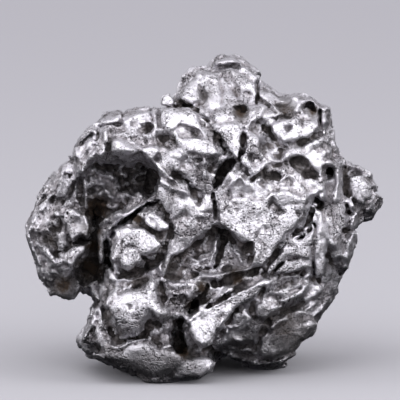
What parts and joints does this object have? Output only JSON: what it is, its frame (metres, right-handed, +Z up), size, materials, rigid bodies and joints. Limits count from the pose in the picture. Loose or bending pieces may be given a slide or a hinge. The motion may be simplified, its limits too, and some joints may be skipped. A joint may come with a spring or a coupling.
{
  "type": "iron meteorite",
  "caption": "Iron meteorite: a cleaned, crumpled metallic individual with plates, cracks and a cave, which stands by itself as a specimen.",
  "frame": {"origin": "centre of the stone's bounding box, on the table that it stands on", "axes": "+X along the stone's longest extent, towards its rounded right lobe; +Y away from the plated main face, towards the back; +Z up"},
  "size_m": [0.036, 0.025, 0.031],
  "materials": {
    "iron": "bright wire-brushed iron, satin, with fine dark pits and brown-black oxide left in the hollows and cracks"
  },
  "bodies": {
    "root": {"meteorite": "iron"}
  },
  "joints": []
}
